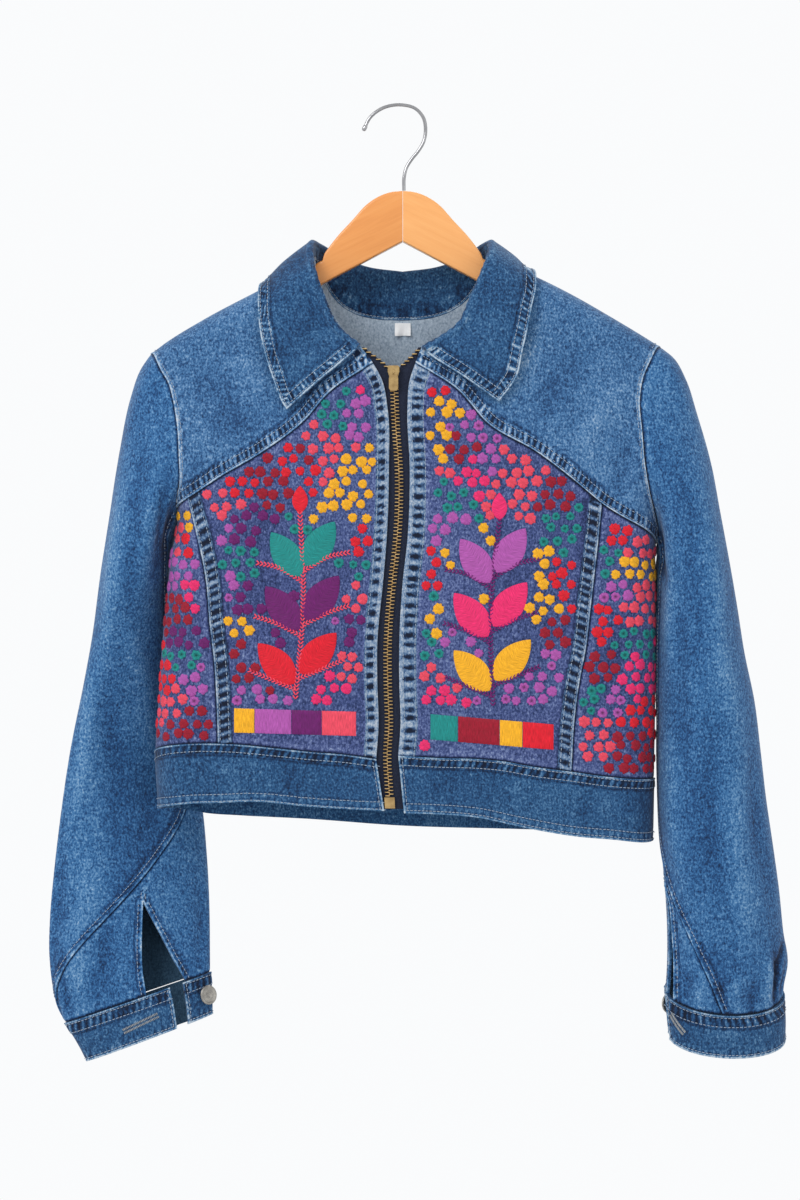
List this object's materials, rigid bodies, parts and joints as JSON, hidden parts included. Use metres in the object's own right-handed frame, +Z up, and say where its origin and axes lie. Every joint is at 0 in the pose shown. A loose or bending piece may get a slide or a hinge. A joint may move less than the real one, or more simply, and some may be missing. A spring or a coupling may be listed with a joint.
{
  "type": "denim jacket on wooden hanger",
  "caption": "Cropped denim jacket with pointed collar, front zip, yoke and princess seams, slit cuffs and satin-stitch embroidery, hanging on a wooden hanger with a steel wire hook.",
  "frame": {"origin": "inside of the top of the wire hook, where it hangs on a rail or pin", "axes": "+Z up, -Y towards the jacket's front, +X to the right seen from the front"},
  "size_m": [0.6466, 0.1318, 0.8394],
  "materials": {
    "denim": "mid-blue washed denim",
    "zip_tape": "navy woven tape",
    "zip_brass": "antique, worn",
    "hook_steel": "bright plated wire",
    "button_metal": "aged grey",
    "label": "plain white satin",
    "wood": "satin varnish"
  },
  "bodies": {
    "jacket": {"hook": "hook_steel", "hanger_arm_left": "wood", "hanger_arm_right": "wood", "collar": "denim", "care_label": "label", "yoke_left": "denim", "yoke_right": "denim", "front_left": "denim", "front_right": "denim", "side_front_left": "denim", "side_front_right": "denim", "hem_band_front_left": "denim", "hem_band_front_right": "denim", "back_panel": "denim", "hem_band_back": "denim", "top_sleeve_left": "denim", "top_sleeve_right": "denim", "under_sleeve_left": "denim", "under_sleeve_right": "denim", "cuff_left": "denim", "cuff_right": "denim", "cuff_button_left": "button_metal", "cuff_button_right": "button_metal", "zip_tape_left": "zip_tape", "zip_tape_right": "zip_tape", "zip_chain": "zip_brass", "zip_bottom_stop": "zip_brass", "zip_slider": "zip_brass"},
    "pull": {"zip_pull": "zip_brass"}
  },
  "joints": [
    {"name": "zip_pull_swing", "type": "hinge", "parent": "jacket", "child": "pull", "pos_m": [-0.008, -0.04383, -0.235], "axis": [-1, 0, 0], "range_deg": [0, 165]}
  ]
}
